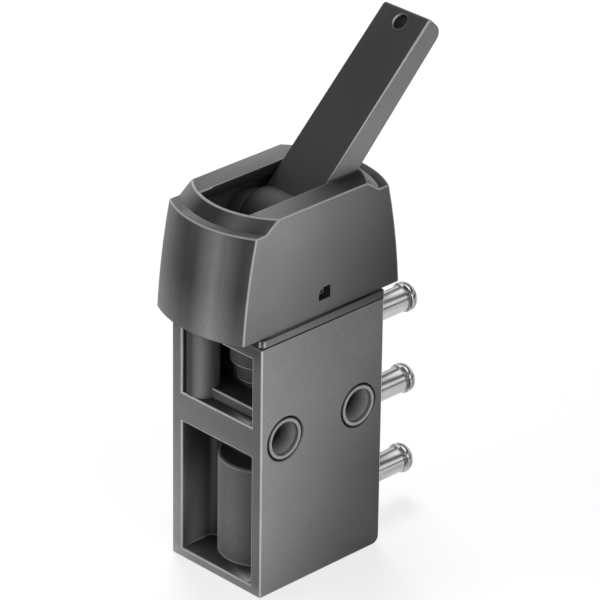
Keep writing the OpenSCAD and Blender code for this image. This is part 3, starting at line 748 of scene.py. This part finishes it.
def barbProfile(values):
    bore, stem, shank, washer, reach, small, neck, slope = (values[key] for key in (
        "bore", "stem", "shank", "washer", "reach", "round", "neckRound", "grooveSlope"))
    hexEnd = washer + values["hexLength"]
    corner = values["flats"] / math.sqrt(3)
    chamfer = corner - values["flats"] / 2 + values["chamferIn"]
    chamferLength = chamfer * values["chamferSlope"]
    steps = values["chamferSteps"]
    shares = [i / steps for i in range(steps + 1)]
    head = reach - values["barbLength"]
    land = head + values["barbRise"]
    nose = land + values["land"]
    tip = bore + values["tipFlat"]
    low = stem - values["groove"]
    seat = values["flats"] / 2 - values["hexSeat"]
    points = [(bore, 0.0, 0), (shank, 0.0, 0), (shank, washer, 0), (seat, washer, 0)]
    points += [(corner - chamfer * (1 - share), washer + chamferLength * share, 1) for share in shares]
    points += [(corner - chamfer * share, hexEnd - chamferLength * (1 - share), 1) for share in shares]
    points += [(stem + neck + values["neckStep"], hexEnd, 0)]
    points += roundOf(stem + neck, hexEnd + neck, neck, -90, -180)
    start = head - values["grooveStart"]
    points += [(stem, start, 0), (low, start + slope, 0), (low, head - slope, 0), (stem, head, 0)]
    points += roundOf(values["barb"] - small, land + small, small, -60, 0)
    points += [(tip + (values["barb"] - tip) * math.cos(math.radians(a)),
                nose + (reach - nose) * math.sin(math.radians(a)), 0) for a in range(0, 91, values["noseStep"])]
    points += roundOf(bore + small, reach - small, small, 90, 180)
    return points


def washerProfile(values):
    inner, outer = values["shank"] + values["washerGap"], values["washerRadius"]
    thick, small = values["washer"], values["washerRound"]
    return ([(inner, 0.0, 0)] + roundOf(outer - small, small, small, -90, 0)
            + roundOf(outer - small, thick - small, small, 0, 90) + [(inner, thick, 0)])


turned = turnedTree()
ports = {
    "Copies": 3, "Step": (0, 0, fittings["pitch"] * mm),
    "Place": (0, fittings["face"] * mm, fittings["firstPort"] * mm),
    "Sides": fittings["sides"], "Flats": fittings["flats"] * mm,
}
growPiece("port_barbs", turned, ports, profileMesh("barbProfile", barbProfile(fittings)),
          ("supply_barb", "outlet_barb", "exhaust_barb"), "barb_nickel")
growPiece("port_washers", turned, ports, profileMesh("washerProfile", washerProfile(fittings)),
          ("port_seals",), "seal_rubber")

# Steel sleeves through the housing, in mm, their ends rounded inside and out
sleeves = {
    "length": 18.0, "outer": 3.2, "inner": 2.4, "mouth": 0.3, "lip": 0.35, "pitch": 14.2, "height": 23.75,
    "sides": 96,
}


def sleeveProfile(values):
    half = values["length"] / 2
    inner, outer, mouth, lip = (values[key] for key in ("inner", "outer", "mouth", "lip"))
    return (roundOf(outer - lip, half - lip, lip, 0, 90)
            + roundOf(inner + mouth, half - mouth, mouth, 90, 180)
            + roundOf(inner + mouth, mouth - half, mouth, 180, 270)
            + roundOf(outer - lip, lip - half, lip, 270, 360))


crossing = {
    "Copies": 2, "Step": (0, sleeves["pitch"] * mm, 0),
    "Place": (0, -sleeves["pitch"] / 2 * mm, sleeves["height"] * mm),
    "Turn": (0, 0, -math.pi / 2), "Sides": sleeves["sides"], "Flats": 0.0,
}
growPiece("mounting_sleeves", turned, crossing, profileMesh("sleeveProfile", sleeveProfile(sleeves)),
          ("front_mounting_bush", "rear_mounting_bush"), "bush_metal")
print("turned parts made")

# Springs, in mm: each fills the height of its CAD solid. Its joint names the slide that presses it, but nothing
# here shortens the spring with that slide.
# "radius" is the coil's and "wire" the wire's. The travel and slack give a pressed length that nothing uses.
springs = {
    "return_spring": {
        "turns": 5.5, "radius": 1.92, "wire": 0.2, "joint": "plunger_slide", "travel": 1.6, "slack": 0.08,
    },
    "poppet_spring": {
        "turns": 6.5, "radius": 1.62, "wire": 0.2, "joint": "poppet_slide", "travel": 1.0, "slack": 0.08,
    },
}
coiled = springTree()
for node, values in springs.items():
    low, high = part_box(node)
    height = high[2] - low[2]
    shape = {
        "Turns": values["turns"], "Radius": values["radius"] * mm, "Wire": values["wire"] * mm,
        "Height": height, "Base": low[2],
    }
    spring = growPiece(node + "_coil", coiled, shape, bpy.data.meshes.new(node + "Start"), (node,),
                       "spring_steel", smooth=80)
    pressed = (values["travel"] + values["slack"]) * mm
    1 - pressed / height
    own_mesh(spring)
print("springs coiled")


# Studio, in metres: pale floor, white backdrop for what the camera sees, soft lamps
studio = {
    "floorSize": 3.0,
    "floorGap": 0.00005,  # keeps the floor clear of the foot
    "floorColour": 0.86,
    "floorRough": 0.9,
    "floorWhite": 0.72,  # how far the camera sees white in place of the paper, which keeps the shadow
    "floorGloss": 0.5,  # the same for polished metal
    "floorMirrored": 0.4,  # and how light that white is for it
    "skyLight": 0.34,
    "lamps": [  # reflections leave out a lamp whose "mirrored" is False
        {"name": "side", "place": (0.085, -0.025, 0.05), "aim": (0.009, -0.004, 0.035), "size": 0.05,
         "power": 0.04},
        {"name": "front", "place": (-0.07, -0.12, 0.06), "aim": (0, -0.01, 0.03), "size": 0.06,
         "power": 0.06},
        {"name": "top", "place": (-0.27, 0.19, 0.33), "aim": (0, 0, 0.05), "size": 0.2, "power": 1.5,
         "mirrored": False},
        {"name": "rim", "place": (-0.35, 0.25, 0.25), "aim": (0, 0, 0.03), "size": 0.25, "power": 0.8,
         "mirrored": False},
    ],
    # what polished metal sees, from straight down to straight up: a striped studio
    "reflection": ((0.0, 0.5), (0.4, 0.6), (0.46, 0.06), (0.55, 0.06), (0.6, 0.95), (0.7, 0.8), (0.76, 0.08),
                   (0.84, 0.08), (0.88, 1.4), (1.0, 1.4)),
}


# 1 for what the camera sees, straight or through something clear, and 1 for what a polished surface sees
def rayKinds(tree):
    rays = tree.nodes.new("ShaderNodeLightPath")
    straight, through, mirrored = (Wire(tree, rays.outputs["Is " + kind + " Ray"])
                                   for kind in ("Camera", "Transmission", "Glossy"))
    return (straight + through).clamped(), mirrored


def addFloor(values):
    half, low = values["floorSize"] / 2, -values["floorGap"]
    mesh = bpy.data.meshes.new("floor")
    corners = [(x * half, y * half, low) for x, y in ((-1, -1), (1, -1), (1, 1), (-1, 1))]
    mesh.from_pydata(corners, [], [(0, 1, 2, 3)])
    floor = link(bpy.data.objects.new("floor", mesh))
    material = bpy.data.materials.new("floorPaper")
    material.use_nodes = True
    tree = material.node_tree
    shader = tree.nodes["Principled BSDF"]
    shader.inputs["Base Color"].default_value = (*[values["floorColour"]] * 3, 1)
    shader.inputs["Roughness"].default_value = values["floorRough"]
    shader.inputs["Specular IOR Level"].default_value = 0.0
    seen, glossy = rayKinds(tree)
    level = blend(seen, values["floorMirrored"], 1)
    glow = level.node("ShaderNodeEmission", None, {"Strength": level})
    share = seen * values["floorWhite"] + glossy * values["floorGloss"]
    paper = share.node("ShaderNodeMixShader", None, {0: share, 1: Wire(tree, shader.outputs[0]), 2: glow})
    tree.links.new(paper.socket, tree.nodes["Material Output"].inputs["Surface"])
    mesh.materials.append(material)


def addWorld(values):
    world = bpy.data.worlds.new("studio")
    world.use_nodes = True
    tree = world.node_tree
    seen, glossy = rayKinds(tree)
    coords = tree.nodes.new("ShaderNodeTexCoord")
    height = axisOf(Wire(tree, coords.outputs["Generated"]), 2) * 0.5 + 0.5
    stops = [(place, (level,) * 3) for place, level in values["reflection"]]
    mirrored = axisOf(height.node("ShaderNodeValToRGB", {"stops": stops}, {0: height}), 0)
    strength = values["skyLight"] * (1 - (seen + glossy).clamped()) + glossy * mirrored + seen
    sky = tree.nodes["Background"]
    tree.links.new(strength.socket, sky.inputs["Strength"])
    sky.inputs["Color"].default_value = (1, 1, 1, 1)
    scene.world = world


def addLamp(values):
    data = bpy.data.lights.new(values["name"], "AREA")
    data.size = values["size"]
    data.energy = values["power"]
    lamp = link(bpy.data.objects.new(values["name"], data))
    place, aim = Vector(values["place"]), Vector(values["aim"])
    lamp.location = place
    lamp.rotation_euler = (place - aim).to_track_quat("Z", "Y").to_euler()
    lamp.visible_camera = False
    lamp.visible_glossy = values.get("mirrored", True)


addFloor(studio)
addWorld(studio)
for lamp in studio["lamps"]:
    addLamp(lamp)
scene.view_settings.view_transform = "Standard"
print("studio lit")
